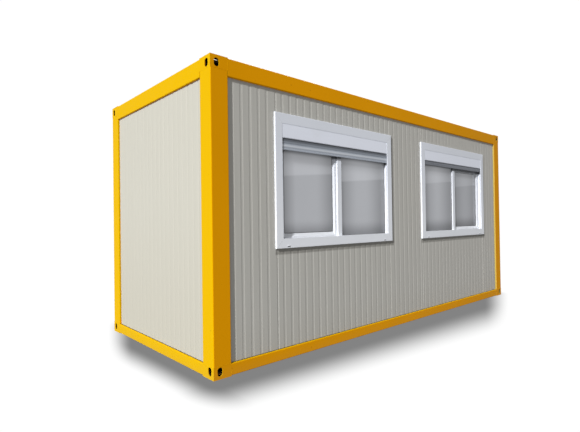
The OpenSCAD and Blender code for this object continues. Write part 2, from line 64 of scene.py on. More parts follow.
class Val:
    """A value in a node tree: arithmetic on it adds Math nodes."""

    def __init__(self, net, socket):
        self.net = net
        self.socket = socket

    def math(self, operation, *others):
        terms = dict(enumerate((self,) + others))
        return self.net.add("ShaderNodeMath", {"operation": operation}, terms)

    def flipped(self, operation, other):
        return self.net.add("ShaderNodeMath", {"operation": operation}, {0: other, 1: self})

    def __add__(self, other):
        return self.math("ADD", other)

    __radd__ = __add__

    def __mul__(self, other):
        return self.math("MULTIPLY", other)

    __rmul__ = __mul__

    def __sub__(self, other):
        return self.math("SUBTRACT", other)

    def __rsub__(self, other):
        return self.flipped("SUBTRACT", other)

    def __truediv__(self, other):
        return self.math("DIVIDE", other)

    def __rtruediv__(self, other):
        return self.flipped("DIVIDE", other)

    def __gt__(self, other):
        return self.math("GREATER_THAN", other)

    def __lt__(self, other):
        return self.math("LESS_THAN", other)

    def __abs__(self):
        return self.math("ABSOLUTE")


class Net:
    """A node tree that is filled node by node."""

    def __init__(self, tree):
        self.tree = tree

    def add(self, kind, settings, inputs, output=0):
        node = self.tree.nodes.new(kind)
        for key, value in settings.items():
            setattr(node, key, value)
        for key, value in inputs.items():
            if isinstance(value, Val):
                self.tree.links.new(value.socket, node.inputs[key])
            else:
                node.inputs[key].default_value = value
        return Val(self, node.outputs[output])


class Finish(Net):
    """A material put together round one Principled shader."""

    def __init__(self, name, constants):
        self.material = bpy.data.materials.new(name)
        self.material.use_nodes = True
        super().__init__(self.material.node_tree)
        self.shader = self.tree.nodes["Principled BSDF"]
        for socket, value in constants.items():
            self.shader.inputs[socket].default_value = value

    def place(self):
        return self.add("ShaderNodeTexCoord", {}, {}, "Object")

    def along(self, axis):
        return self.add("ShaderNodeSeparateXYZ", {}, {0: self.place()}, axis)

    def cloud(self, scale, detail, stretch=(1.0, 1.0, 1.0)):
        where = self.add("ShaderNodeVectorMath", {"operation": "MULTIPLY"}, {0: self.place(), 1: stretch})
        return self.add("ShaderNodeTexNoise", {}, {"Vector": where, "Scale": scale, "Detail": detail})

    def cells(self, scale):
        return self.add("ShaderNodeTexVoronoi", {}, {"Vector": self.place(), "Scale": scale}, "Distance")

    def fade(self, value, low, high, out_low=0.0, out_high=1.0):
        return self.add("ShaderNodeMapRange", {"interpolation_type": "SMOOTHSTEP"},
                        {0: value, 1: low, 2: high, 3: out_low, 4: out_high})

    def patches(self, scale, detail, out_low=0.0, out_high=1.0):
        return self.fade(self.cloud(scale, detail), 0.3, 0.7, out_low, out_high)

    def blend(self, factor, first, second):
        return self.add("ShaderNodeMix", {"data_type": "RGBA"}, {0: factor, 6: first, 7: second}, 2)

    def relief(self, height, strength, distance):
        return self.add("ShaderNodeBump", {}, {"Height": height, "Strength": strength, "Distance": distance})

    def feed(self, socket, value):
        self.tree.links.new(value.socket, self.shader.inputs[socket])

    def coat(self, *names):
        for name in names:
            nodes[name].data.materials.clear()
            nodes[name].data.materials.append(self.material)


def enamel(name):
    """Yellow enamel with a fine orange peel; painted paler where faces turn up or to the ends, a painted
    light, painted darker towards the right end, a painted shade, and dusty low down.
    """
    deep_yellow, warm_yellow = (0.720, 0.300, 0.0010, 1.0), (0.752, 0.314, 0.0014, 1.0)
    sunlit_yellow, sunlit_far_yellow = (0.617, 0.366, 0.0010, 1.0), (0.460, 0.340, 0.078, 1.0)
    dust_brown, chip_brown = (0.22, 0.16, 0.08, 1.0), (0.16, 0.075, 0.012, 1.0)
    edge_depth, edge_half_w, edge_half_h, far_post_x = 0.0215, 1.1, 1.27, 2.75

    paint = Finish(name, {"Specular IOR Level": 0.03, "Specular Tint": (1.0, 0.55, 0.02, 1.0)})
    paint_x, paint_y, paint_z = map(paint.along, "XYZ")
    colour = paint.blend(paint.patches(0.9, 3.0), deep_yellow, warm_yellow)
    # Painted shade: the colour darkens towards the right end.
    colour = paint.blend(paint.fade(paint_x, -1.0, 3.0, 0.0, 0.12), colour, black)

    # Painted light: faces that turn up or to the ends, and the right post's inner faces, get a paler sunlit
    # yellow.
    facing = paint.add("ShaderNodeNewGeometry", {}, {}, "True Normal")
    to_end, to_sky = (paint.add("ShaderNodeSeparateXYZ", {}, {0: facing}, axis) for axis in "XZ")
    sunlit_faces = paint.fade(abs(to_end).math("MAXIMUM", to_sky), 0.35, 0.90)
    sunlit_end_band = ((abs(paint_x) > half_l - edge_depth) * (abs(paint_y) < edge_half_w)
                * (abs(paint_z - mid_z) < edge_half_h))
    sunlit_faces = sunlit_faces.math("MAXIMUM", sunlit_end_band * 0.9)
    pale = paint.blend((paint_x > far_post_x) * (to_end < 0.0), sunlit_yellow, sunlit_far_yellow)
    colour = paint.blend(sunlit_faces, colour, pale)

    dust = paint.fade(paint_z + paint.cloud(6.0, 4.0) * 0.12, 0.05, 0.2, 0.10, 0.0)
    colour = paint.blend(dust, colour, dust_brown)
    chip = paint.fade(paint.cloud(38.0, 5.0), 0.70, 0.74) * paint.fade(paint.cloud(3.0, 2.0), 0.5, 0.62)
    colour = paint.blend(chip * 0.7, colour, chip_brown)
    gloss = paint.fade(paint.cloud(7.0, 4.0), 0.25, 0.75, 0.36, 0.48)
    paint.feed("Roughness", gloss + dust + chip * 0.2)
    peel = paint.cloud(320.0, 1.0) + paint.cloud(26.0, 2.0) * 0.8 - chip * 0.5
    paint.feed("Normal", paint.relief(peel, 0.18, 0.0006))
    return paint, colour


slot_in_x, slot_in_y, slot_half_l, slot_half_w, slot_lip = 0.101, 0.0895, 0.0635, 0.033, 0.0015
spray_reach, spray_reach_z = 0.007, 0.0075
shade_dark_grime, shade_brown_grime = (0.004, 0.0035, 0.003, 1.0), (0.012, 0.010, 0.007, 1.0)

casting_paint, casting_colour = enamel("casting_yellow_enamel")
in_x = half_l - abs(casting_paint.along("X"))
in_y = half_w - abs(casting_paint.along("Y"))
in_z = mid_z - abs(casting_paint.along("Z") - mid_z)
# Painted shade: the hollow and the slots' walls past the paint lip are coloured near black, grime and shade
# in one.
in_slot = (abs(in_x - slot_in_x) < slot_half_l) * (abs(in_y - slot_in_y) < slot_half_w) * (in_z > slot_lip)
inside = (in_x > spray_reach) * (in_y > spray_reach) * (in_z > spray_reach_z)
grime_and_shade = casting_paint.blend(casting_paint.cloud(40.0, 3.0), shade_dark_grime, shade_brown_grime)
casting_paint.feed("Base Color", casting_paint.blend(inside.math("MAXIMUM", in_slot), casting_colour, grime_and_shade))
casting_paint.coat("bottom_corner_castings", "top_corner_castings")


# Posts and rails: folded from steel plate and welded between the castings into one frame.
# The frame is sprayed all over with thick yellow enamel.

frame_paint, frame_colour = enamel("frame_yellow_enamel")
frame_paint.feed("Base Color", frame_colour)
frame_paint.coat("front_left_post", "front_right_post", "rear_left_post", "rear_right_post",
                 "front_bottom_rail", "rear_bottom_rail", "left_bottom_rail", "right_bottom_rail",
                 "front_top_rail", "rear_top_rail", "left_top_rail", "right_top_rail")


# Weld beads: the seams of the castings with the posts and rails, run by hand in short strides.
# They stand a little proud of the plate, and are painted over with it.

def put(name, data):
    """An object in the scene that shows a mesh, a light or a camera."""
    made = bpy.data.objects.new(name, data)
    bpy.context.scene.collection.objects.link(made)
    return made


class Growth(Net):
    """A geometry tree with named sizes, which grows a piece from a starting mesh."""

    def __init__(self, name, sizes):
        super().__init__(bpy.data.node_groups.new(name, "GeometryNodeTree"))
        self.tree.interface.new_socket("Start", in_out="INPUT", socket_type="NodeSocketGeometry")
        for label, kind in sizes.items():
            self.tree.interface.new_socket(label, in_out="INPUT", socket_type="NodeSocket" + kind)
        self.tree.interface.new_socket("Finish", in_out="INPUT", socket_type="NodeSocketMaterial")
        self.tree.interface.new_socket("Grown", in_out="OUTPUT", socket_type="NodeSocketGeometry")
        self.entry = self.tree.nodes.new("NodeGroupInput")

    def size(self, label):
        return Val(self, self.entry.outputs[label])

    def close(self, shape):
        real = self.add("GeometryNodeRealizeInstances", {}, {"Geometry": shape})
        painted = self.add("GeometryNodeSetMaterial", {}, {"Geometry": real, "Material": self.size("Finish")})
        self.tree.links.new(painted.socket, self.tree.nodes.new("NodeGroupOutput").inputs["Grown"])

    def grow(self, name, start, values, finish):
        piece = put(name, start)
        grower = piece.modifiers.new(name, "NODES")
        grower.node_group = self.tree
        values = dict(values, Finish=finish.material)
        for item in self.tree.interface.items_tree:
            if item.in_out == "INPUT" and item.name in values:
                grower[item.identifier] = values[item.name]
        shown = piece.evaluated_get(bpy.context.evaluated_depsgraph_get())
        grown = bpy.data.meshes.new_from_object(shown)
        piece.modifiers.clear()
        piece.data = grown
        return piece


def thread(name, runs, closed=False):
    """A mesh of edges only, one chain for each run of points."""
    points, edges = [], []
    for run in runs:
        first = len(points)
        points.extend(run)
        edges.extend((i, i + 1) for i in range(first, len(points) - 1))
        if closed:
            edges.append((len(points) - 1, first))
    mesh = bpy.data.meshes.new(name)
    mesh.from_pydata(points, edges, [])
    return mesh


def tube(net, scale):
    """A round section of the tree's Radius, swept along the starting edges."""
    path = net.add("GeometryNodeMeshToCurve", {}, {"Mesh": net.size("Start")})
    path = net.add("GeometryNodeResampleCurve", {"mode": "LENGTH"},
                   {"Curve": path, "Length": net.size("Stride")})
    ring = net.add("GeometryNodeCurvePrimitiveCircle", {}, {"Resolution": 7, "Radius": net.size("Radius")})
    swept = net.add("GeometryNodeCurveToMesh", {},
                    {"Curve": path, "Profile Curve": ring, "Scale": scale, "Fill Caps": True})
    return net.add("GeometryNodeSetShadeSmooth", {}, {"Geometry": swept})


def measured(node):
    """A CAD node's lowest and highest corners, to a tenth of a millimetre."""
    return [[round(place, 4) for place in corner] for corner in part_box(node)]


weld = Growth("weld_bead", {"Radius": "Float", "Stride": "Float", "Ripple": "Float"})
along_seam = weld.add("GeometryNodeSplineParameter", {}, {}, "Length")
swell = (along_seam / weld.size("Stride") * 1.4).math("SINE")
weld.close(tube(weld, 1.0 + weld.size("Ripple") * swell))

post_fold, bead_sunk = 0.009, 0.0008
post_low, post_high = measured("rear_right_post")
inner_x, inner_y = post_low[:2]
bead_x, bead_y = half_l - bead_sunk, half_w - bead_sunk
seams = []
for sx in (-1, 1):
    for sy in (-1, 1):
        for z in (post_low[2], post_high[2]):
            bend = [(sx * (half_l - post_fold + (post_fold - bead_sunk) * math.sin(a)),
                     sy * (half_w - post_fold + (post_fold - bead_sunk) * math.cos(a)), z)
                    for a in (i * math.pi / 8 for i in range(5))]
            seams.append([(sx * inner_x, sy * bead_y, z)] + bend + [(sx * bead_x, sy * inner_y, z)])
        for rail in ("front_bottom_rail", "front_top_rail"):
            rail_low, rail_high = measured(rail)
            heights = (rail_low[2] + post_fold, rail_high[2] - post_fold)
            seams.append([(sx * inner_x, sy * bead_y, z) for z in heights])
            seams.append([(sx * bead_x, sy * inner_y, z) for z in heights])
weld_beads = weld.grow("weld_beads", thread("weld_beads", seams),
                       {"Radius": 0.0017, "Stride": 0.004, "Ripple": 0.16}, frame_paint)
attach(weld_beads, "root")


# Floor: cold-formed zinc-coated beams between the long rails, with a thick sealed
# board screwed down on them. The zinc shows its crystal flower pattern from below.
# The board has a long grain and a worn sheen.

bright_zinc, dull_zinc = (0.50, 0.52, 0.53, 1.0), (0.36, 0.38, 0.39, 1.0)
zinc = Finish("beam_zinc", {"Metallic": 0.85})
flower = zinc.cells(55.0)
zinc.feed("Base Color", zinc.blend(zinc.fade(flower, 0.1, 0.7), bright_zinc, dull_zinc))
zinc.feed("Roughness", zinc.patches(18.0, 3.0, 0.38, 0.55))
zinc.feed("Normal", zinc.relief(flower, 0.1, 0.0004))
zinc.coat("floor_beams")

pale_wood, dark_wood = (0.266, 0.195, 0.125, 1.0), (0.162, 0.112, 0.069, 1.0)
board = Finish("floor_sealed_board", {})
grain = board.cloud(9.0, 5.0, (0.25, 3.0, 3.0))
board.feed("Base Color", board.blend(board.fade(grain, 0.3, 0.7), pale_wood, dark_wood))
board.feed("Roughness", board.patches(3.0, 3.0, 0.4, 0.6))
board.feed("Normal", board.relief(grain, 0.15, 0.001))
board.coat("floor_deck")


# Walls: insulated panels faced with coil-coated steel, rolled with shallow grooves and slotted
# together into the frame. The coat is a warm light grey with a fine emboss, white on the inside.
# Rain leaves upright streaks and dust settles at the foot; a shadow is painted below and beside the windows,
# the sheet is painted darker to the right and warmer on the sunlit left end.

wall_grey, streak_grey = (0.468, 0.459, 0.424, 1.0), (0.446, 0.438, 0.405, 1.0)
right_shade_grey, sunlit_end_grey = (0.392, 0.378, 0.352, 1.0), (0.466, 0.452, 0.372, 1.0)
end_dust, foot_brown = (0.424, 0.403, 0.334, 1.0), (0.305, 0.254, 0.175, 1.0)
window_painted_shadow, lining_white = (0.120, 0.112, 0.096, 1.0), (0.72, 0.72, 0.70, 1.0)
window_boxes = {side: measured(side + "_window_frame") for side in ("left", "right")}
end_face_x, lining_skin = 2.99, 0.0005
lining_x = measured("right_end_wall")[0][0] + lining_skin
lining_y = measured("rear_wall_right")[0][1] + lining_skin
shadow_below, shadow_beside, shadow_edge, window_lap = 0.070, 0.052, 0.017, 0.005

sheet = Finish("wall_coated_sheet", {"Specular IOR Level": 0.22})
wall_x, wall_y, wall_z = map(sheet.along, "XYZ")
streak = sheet.fade(sheet.cloud(3.2, 4.0, (7.0, 7.0, 0.22)), 0.3, 0.75)
grey = sheet.blend(streak, wall_grey, streak_grey)
# Painted shade: the sheet darkens towards the right end.
grey = sheet.blend(sheet.fade(wall_x, -2.0, 3.2, 0.0, 0.5), grey, right_shade_grey)
foot_dust = sheet.fade(wall_z + sheet.cloud(4.0, 4.0) * 0.3, 0.2, 0.75, 0.10, 0.0)
grey = sheet.blend(foot_dust, grey, foot_brown)
# Painted light: the left end wall is tinted a warmer sunlit grey.
grey = sheet.blend((wall_x < -end_face_x) * 0.5, grey, sunlit_end_grey)
grey = sheet.blend((abs(wall_x) > end_face_x) * sheet.fade(wall_z, 0.3, 1.8, 0.5, 0.0), grey, end_dust)
# Painted shadow: a dark band below and beside each window lengthens its cast shadow.
for low, high in window_boxes.values():
    across, up = wall_x - low[0], wall_z - low[2]
    wide, tall = high[0] - low[0], high[2] - low[2]
    below = ((across > 0.0) * (across < wide + shadow_beside) * (up < window_lap)
             * sheet.fade(up, -shadow_below, -shadow_below + shadow_edge))
    beside = ((across > wide - window_lap) * (up > -window_lap) * (up < tall - window_lap)
              * sheet.fade(across, wide + shadow_beside - shadow_edge, wide + shadow_beside, 1.0, 0.0))
    grey = sheet.blend(below.math("MAXIMUM", beside) * (wall_y < 0.0) * 0.55, grey, window_painted_shadow)
room_side = (abs(wall_x) < lining_x) * (abs(wall_y) < lining_y)
sheet.feed("Base Color", sheet.blend(room_side, grey, lining_white))
sheet.feed("Roughness", sheet.patches(11.0, 4.0, 0.44, 0.56) + foot_dust * 0.5)
sheet.feed("Normal", sheet.relief(sheet.cloud(420.0, 1.0), 0.2, 0.0005))
sheet.coat("front_wall_left", "front_wall_middle", "front_wall_right",
           "front_wall_over_windows", "front_wall_under_windows", "left_end_wall", "right_end_wall",
           "rear_wall_left", "rear_wall_right", "rear_wall_over_door")


# Foot seals: a thin bead of dark mastic along the foot of each wall, where it stands on its rail.
# It is run with a gun and smoothed with a thumb, and stops at both sides of the door.

dark_mastic, dusty_mastic = (0.030, 0.028, 0.024, 1.0), (0.065, 0.058, 0.046, 1.0)
mastic = Finish("foot_dark_mastic", {"Specular IOR Level": 0.2})
mastic.feed("Base Color", mastic.blend(mastic.cloud(22.0, 3.0), dark_mastic, dusty_mastic))
mastic.feed("Roughness", mastic.patches(30.0, 2.0, 0.55, 0.75))

post_gap, foot_lift = 0.0025, 0.0015
end_wall_high = measured("right_end_wall")[1]
foot_z = measured("right_end_wall")[0][2] + foot_lift
end_run, long_run = inner_y - post_gap, inner_x - post_gap
long_y = measured("rear_wall_right")[1][1]
foot_runs = [[(x, -end_run, foot_z), (x, end_run, foot_z)] for x in (-end_wall_high[0], end_wall_high[0])]
foot_runs.append([(-long_run, -long_y, foot_z), (long_run, -long_y, foot_z)])
for panel in ("rear_wall_left", "rear_wall_right"):
    low, high = measured(panel)
    foot_runs.append([(max(low[0], -long_run), long_y, foot_z), (min(high[0], long_run), long_y, foot_z)])
foot_seals = weld.grow("foot_seals", thread("foot_seals", foot_runs),
                       {"Radius": 0.0030, "Stride": 0.02, "Ripple": 0.06}, mastic)
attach(foot_seals, "root")


# Window frames, sashes and shutter boxes: white plastic profiles, cut to length and welded at
# the corners. The frame goes through the wall and laps it with a flange; the sash slides behind.
# The plastic has a soft gloss and greys towards the top; painted shade darkens it towards the right and turns
# it near black in the nook under the shutter.

window_low, window_high = window_boxes["left"]
window_face = window_low[1]
window_w = window_high[0] - window_low[0]
window_step = window_boxes["right"][0][0] - window_low[0]
left_middle = window_low[0] + window_w / 2
nook_top = measured("left_shutter_box")[0][2] - 0.001


def plastic(name, low_tone, high_tone):
    """White window plastic that goes from one tone at a window's foot to another at its head."""
    soil_grey, nook_shade_black = (0.66, 0.68, 0.72, 1.0), (0.03, 0.03, 0.035, 1.0)
    nook_depth, nook_half_w, right_lift = 0.0065, 0.93, 0.050
    made = Finish(name, {"Specular IOR Level": 0.32})
    made_x, made_y, made_z = map(made.along, "XYZ")
    tone = made.blend(made.fade(made_z, 1.15, 2.30), low_tone, high_tone)
    # Painted shade: the plastic darkens towards the right window.
    tone = made.blend(made.fade(made_x, -0.4, 1.6, 0.0, 0.075), tone, black)
    tone = made.blend(made.fade(made.cloud(2.6, 5.0), 0.45, 0.85, 0.0, 0.30), tone, soil_grey)
    on_right = made_x > 0.0
    in_reveal = abs(made_x - left_middle - on_right * window_step) < nook_half_w
    # Painted shade: the reveal's nook under the shutter box is coloured near black.
    painted_nook_shade = made.fade(made_z - on_right * right_lift, 2.085, 2.115, 0.0, 0.86) * in_reveal
    painted_nook_shade = painted_nook_shade * (made_y > window_face + nook_depth) * (made_z < nook_top)
    made.feed("Base Color", made.blend(painted_nook_shade, tone, nook_shade_black))
    made.feed("Roughness", made.patches(14.0, 3.0, 0.30, 0.42))
    made.feed("Normal", made.relief(made.cloud(60.0, 2.0), 0.05, 0.0004))
    return made


white = plastic("window_white_plastic", (0.785, 0.806, 0.850, 1.0), (0.708, 0.736, 0.800, 1.0))
white.coat("left_window_frame", "right_window_frame")
# Painted shade: the sashes take a darker copy of the frame's white.
shaded_sash_white = plastic("window_sash_white_plastic", (0.700, 0.718, 0.757, 1.0), (0.631, 0.656, 0.713, 1.0))
shaded_sash_white.coat("left_window_sash", "right_window_sash")
box_white = plastic("shutter_box_white_plastic", (0.785, 0.806, 0.850, 1.0), (0.788, 0.818, 0.905, 1.0))
box_white.coat("left_shutter_box", "right_shutter_box")


# Mitre seams: where two profiles are welded at a frame's corners, a fine line of melted plastic
# is left on the face after trimming. It holds a little dirt.

seam_line = Growth("round_section", {"Radius": "Float", "Stride": "Float"})
seam_line.close(tube(seam_line, 1.0))

jamb_w, head_h, sill_h = 0.092, 0.103, 0.100
dirty_melt, clean_melt = (0.50, 0.51, 0.52, 1.0), (0.64, 0.65, 0.67, 1.0)
melt = Finish("mitre_seam_plastic", {"Specular IOR Level": 0.3})
melt.feed("Base Color", melt.blend(melt.cloud(30.0, 3.0), dirty_melt, clean_melt))
melt.feed("Roughness", melt.patches(40.0, 2.0, 0.40, 0.55))
for side, (low, high) in window_boxes.items():
    mitres = []
    for tip_x, heel_x in ((low[0], low[0] + jamb_w), (high[0], high[0] - jamb_w)):
        for tip_z, heel_z in ((low[2], low[2] + sill_h), (high[2], high[2] - head_h)):
            tip = Vector((tip_x, window_face, tip_z))
            heel = Vector((heel_x, window_face, heel_z))
            mitres.append([tip.lerp(heel, 0.05), tip.lerp(heel, 0.985)])
    seam = seam_line.grow(side + "_window_mitres", thread(side + "_window_mitres", mitres),
                          {"Radius": 0.0008, "Stride": 0.02}, melt)
    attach(seam, "root")


# Drain caps: small plastic hoods clipped over the slots that let rain out of a frame's sill.
# Each is moulded with a sloping top and sits low on the sill, near both ends.
# Under its lower edge a dark piece stands in for the shaded mouth of the slot, a painted shade.

def lofted(name, rings):
    """A closed mesh through rings of points, from the first ring to the last."""
    shape = bmesh.new()
    rows = [[shape.verts.new(point) for point in ring] for ring in rings]
    for lower, upper in zip(rows, rows[1:]):
        for i in range(len(lower)):
            shape.faces.new((lower[i - 1], lower[i], upper[i], upper[i - 1]))
    shape.faces.new(rows[0])
    shape.faces.new(rows[-1])
    bmesh.ops.recalc_face_normals(shape, faces=shape.faces)
    mesh = bpy.data.meshes.new(name)
    shape.to_mesh(mesh)
    shape.free()
    return mesh


def rounded(half_wide, half_tall, radius, across, steps=3):
    """The points of a rounded rectangle, each made by the function across."""
    ring = []
    for quarter in range(4):
        cx = (half_wide - radius) * (1 if quarter in (0, 3) else -1)
        cz = (half_tall - radius) * (1 if quarter in (0, 1) else -1)
        for i in range(steps + 1):
            a = math.pi / 2 * (quarter + i / steps)
            ring.append(across(cx + radius * math.cos(a), cz + radius * math.sin(a)))
    return ring


row = Growth("row_of_fixings", {"Count": "Int", "First": "Vector", "Step": "Vector"})
spots = row.add("GeometryNodeMeshLine", {"mode": "OFFSET"},
                {"Count": row.size("Count"), "Start Location": row.size("First"), "Offset": row.size("Step")})
row.close(row.add("GeometryNodeInstanceOnPoints", {}, {"Points": spots, "Instance": row.size("Start")}))

cap_inset, cap_rise, cap_slope = 0.165, 0.027, 0.10
mouth_rise, mouth_half_h, mouth_round = 0.0165, 0.0045, 0.002
cap_step = (window_w - 2 * cap_inset, 0.0, 0.0)
cap_sections = ((0.019, 0.0065, 0.003, 0.0), (0.019, 0.0065, 0.003, 0.0020), (0.0165, 0.0042, 0.002, 0.0030))
cap_rings = [rounded(half_wide, half_tall, radius, lambda x, z: (x, -out + cap_slope * max(z, 0.0), z))
             for half_wide, half_tall, radius, out in cap_sections]
mouth_sections = ((0.018, -0.0010), (0.018, 0.0003), (0.0175, 0.0005))
mouth_rings = [rounded(half_wide, mouth_half_h, mouth_round, lambda x, z: (x, -out, z))
               for half_wide, out in mouth_sections]

mouth_dark, mouth_grey = (0.085, 0.087, 0.092, 1.0), (0.130, 0.133, 0.140, 1.0)
# Painted shade: the mouths are dark pieces standing in for the shaded slot openings.
hollow = Finish("drain_mouth_dark", {"Specular IOR Level": 0.1})
hollow.feed("Base Color", hollow.blend(hollow.cloud(80.0, 2.0), mouth_dark, mouth_grey))
hollow.feed("Roughness", hollow.patches(90.0, 2.0, 0.7, 0.85))
for side, (low, high) in window_boxes.items():
    first_cap = (low[0] + cap_inset, window_face, low[2] + cap_rise)
    first_mouth = (low[0] + cap_inset, window_face, low[2] + mouth_rise)
    caps = row.grow(side + "_drain_caps", lofted(side + "_drain_caps", cap_rings),
                    {"Count": 2, "First": first_cap, "Step": cap_step}, white)
    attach(caps, "root")
    mouths = row.grow(side + "_drain_mouths", lofted(side + "_drain_mouths", mouth_rings),
                      {"Count": 2, "First": first_mouth, "Step": cap_step}, hollow)
    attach(mouths, "root")


# Panes: sealed grey glass, one in the fixed half of a frame and one in its sash.
# Their tone is a painted glow standing in for reflected and room light, with a painted reflection
# lighter over a slanting edge near the top, and painted shade towards their rims and under the shutter.

left_mullion, right_mullion, far_off = -1.3, 1.42, 9.0
curtain_edge, right_curtain_lift = 2.139, 0.066
glow_tone = (0.403, 0.411, 0.434, 1.0)
deep_glass, pale_glass = (0.095, 0.099, 0.106, 1.0), (0.110, 0.113, 0.120, 1.0)

glass = Finish("window_grey_glass",
               {"Specular IOR Level": 0.5, "IOR": 1.5, "Alpha": 0.96, "Emission Strength": 1.0})
pane_x, pane_z = glass.along("X"), glass.along("Z")
# Painted shade under the curtain, and a painted reflection band above a slanting edge.
under = curtain_edge + (pane_x > 0.0) * right_curtain_lift - pane_z
painted_curtain_shade = glass.fade(under, 0.0, 0.055, 0.40, 0.73) * glass.fade(under, 0.03, 0.20, 1.0, 1.37)
reflection_slant = (pane_z - pane_x * 0.085 + (pane_x > left_mullion) * 0.0923 + (pane_x > 0.0) * 0.0906
         + (pane_x > right_mullion) * 0.0885)
shade = glass.fade(reflection_slant, 2.0347, 2.0587) * glass.fade(pane_x, -0.5, 1.6, 0.17, 0.12)

# Each pane: its stretch of the front, its left and right rim and how far their painted shade reaches,
# its lower rim, and how bright its painted glow is at the rims and in the middle.
pane_shades = (
    (-far_off, left_mullion, -2.1400, -1.3895, 0.20, 0.33, 1.252, 0.58, 1.000),
    (left_mullion, 0.0, -1.2655, -0.4500, 0.38, 0.44, 1.235, 0.56, 1.000),
    (0.0, right_mullion, 0.5015, 1.3300, 0.50, 0.52, 1.257, 0.58, 0.935),
    (right_mullion, far_off, 1.4815, 2.2175, 0.42, 0.42, 1.290, 0.68, 0.760),
)
for start, end, left_rim, right_rim, left_reach, right_reach, foot, rim_tone, tone in pane_shades:
    lit = (glass.fade((pane_x - left_rim) / left_reach, -0.27, 0.86, rim_tone, 1.0)
           * glass.fade((right_rim - pane_x) / right_reach, -0.27, 0.86, rim_tone, 1.0)
           * glass.fade(pane_z - foot, -0.03, 0.17, 0.56, 1.0))
    shade = shade + (pane_x > start) * (pane_x < end) * lit * tone
shade = shade * painted_curtain_shade * glass.patches(1.4, 3.0, 0.985, 1.015) * 0.978 - 0.221
# Painted glow: the panes' tone is emitted, standing in for reflected and room light.
glass.feed("Emission Color", glass.blend(shade, black, glow_tone))
glass.feed("Base Color", glass.blend(glass.patches(1.1, 3.0), deep_glass, pale_glass))
glass.feed("Roughness", glass.fade(glass.cloud(5.0, 4.0), 0.3, 0.8, 0.03, 0.08))
glass.coat("left_window_glass", "right_window_glass")


# Glazing gaskets: black rubber cord pressed in round each pane between glass and plastic.
# Only a narrow round edge of it shows.

def rim(x0, x1, z0, z1, y):
    """The four corners of an upright rectangle."""
    return [(x0, y, z0), (x1, y, z0), (x1, y, z1), (x0, y, z1)]


black_rubber, grey_rubber = (0.020, 0.020, 0.021, 1.0), (0.050, 0.050, 0.050, 1.0)
rubber = Finish("gasket_black_rubber", {"Specular IOR Level": 0.3})
rubber.feed("Base Color", rubber.blend(rubber.cloud(35.0, 3.0), black_rubber, grey_rubber))
rubber.feed("Roughness", rubber.patches(60.0, 2.0, 0.55, 0.72))

# The sash pane and the fixed pane: both rims, from the frame's outer edge on the sash's side,
# the lower and the upper rim, and the face of the glass.
pane_rims = ((0.162, 0.898, 1.270, 2.140, -1.1480), (1.022, 1.878, 1.220, 2.190, -1.1660))
sash_edges = (("left", window_boxes["left"][0][0], 1), ("right", window_boxes["right"][1][0], -1))
for side, edge_x, inward in sash_edges:
    rounds = [rim(*sorted((edge_x + inward * near, edge_x + inward * far)), z0, z1, y)
              for near, far, z0, z1, y in pane_rims]
    gasket = seam_line.grow(side + "_window_gaskets", thread(side + "_window_gaskets", rounds, True),
                            {"Radius": 0.0028, "Stride": 0.05}, rubber)
    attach(gasket, "root")


# Roller shutters: foam-filled slats that hook into each other and run in the jambs,
# wound up in a box over the window. Both are drawn up, so only the last slats show.
# The slats are a dull blue grey with a painted highlight on a rounded edge and painted shade under the box;
# the right curtain is painted darker, in shade, and a stiff lath ends each curtain.

lit_low_slat, shaded_high_slat = (0.395, 0.430, 0.488, 1.0), (0.290, 0.320, 0.368, 1.0)
slat_painted_highlight, slat_box_shadow = (0.565, 0.595, 0.645, 1.0), (0.120, 0.130, 0.150, 1.0)
rubbed_slat = (0.12, 0.125, 0.14, 1.0)
shaded_right_slat, shaded_right_rubbed = (0.190, 0.200, 0.225, 1.0), (0.165, 0.174, 0.200, 1.0)

slat = Finish("shutter_grey_slats", {"Specular IOR Level": 0.35})
slat_z = slat.along("Z")
rub = slat.fade(slat.cloud(6.0, 4.0, (0.4, 1.0, 3.0)), 0.35, 0.75)
# Painted light on the left curtain: shade near the box and a highlight band on the lower slat.
left_tone = slat.blend(slat.fade(slat_z, 2.165, 2.205), lit_low_slat, shaded_high_slat)
highlight_band = slat.fade(slat_z, 2.152, 2.166) * slat.fade(slat_z, 2.169, 2.184, 1.0, 0.0)
left_tone = slat.blend(highlight_band, left_tone, slat_painted_highlight)
left_tone = slat.blend(slat.fade(slat_z, 2.203, 2.224), left_tone, slat_box_shadow)
# Painted shade: the right curtain takes a darker copy of the slat colour.
right_tone = slat.blend(rub, shaded_right_slat, shaded_right_rubbed)
slat_tone = slat.blend(slat.along("X") > 0.0, left_tone, right_tone)
slat.feed("Base Color", slat.blend(rub * 0.10, slat_tone, rubbed_slat))
slat.feed("Roughness", slat.patches(20.0, 3.0, 0.45, 0.6))
slat.feed("Normal", slat.relief(slat.cloud(45.0, 3.0, (0.2, 1.0, 1.0)), 0.08, 0.0005))
slat.coat("left_shutter_curtain", "right_shutter_curtain")

lath_half_t, lath_half_h, lath_round, lath_taper, lath_gap = 0.0045, 0.0095, 0.003, 0.002, 0.003
lath_y, lath_end = -1.2035, 0.0015
for side, lath_z in (("left", 2.125), ("right", 2.184)):
    low, high = window_boxes[side]
    x0, x1 = low[0] + jamb_w + lath_gap, high[0] - jamb_w - lath_gap
    sections = ((x0, lath_end), (x0 + lath_taper, 0.0), (x1 - lath_taper, 0.0), (x1, lath_end))
    lath_rings = [rounded(lath_half_t - less, lath_half_h - less, lath_round - less,
                          lambda y, rise: (x, lath_y + y, lath_z + lath_half_h + rise))
                  for x, less in sections]
    lath = put(side + "_shutter_lath", lofted(side + "_shutter_lath", lath_rings))
    lath.data.materials.append(slat.material)
    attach(lath, "root")


# Door at the rear: a flush steel-faced leaf in a folded frame, with lever handles and
# three barrel hinges. Leaf and frame are sprayed light grey in the works.
# A rubber seal runs round the leaf, and a lock cylinder passes through the handle plates.

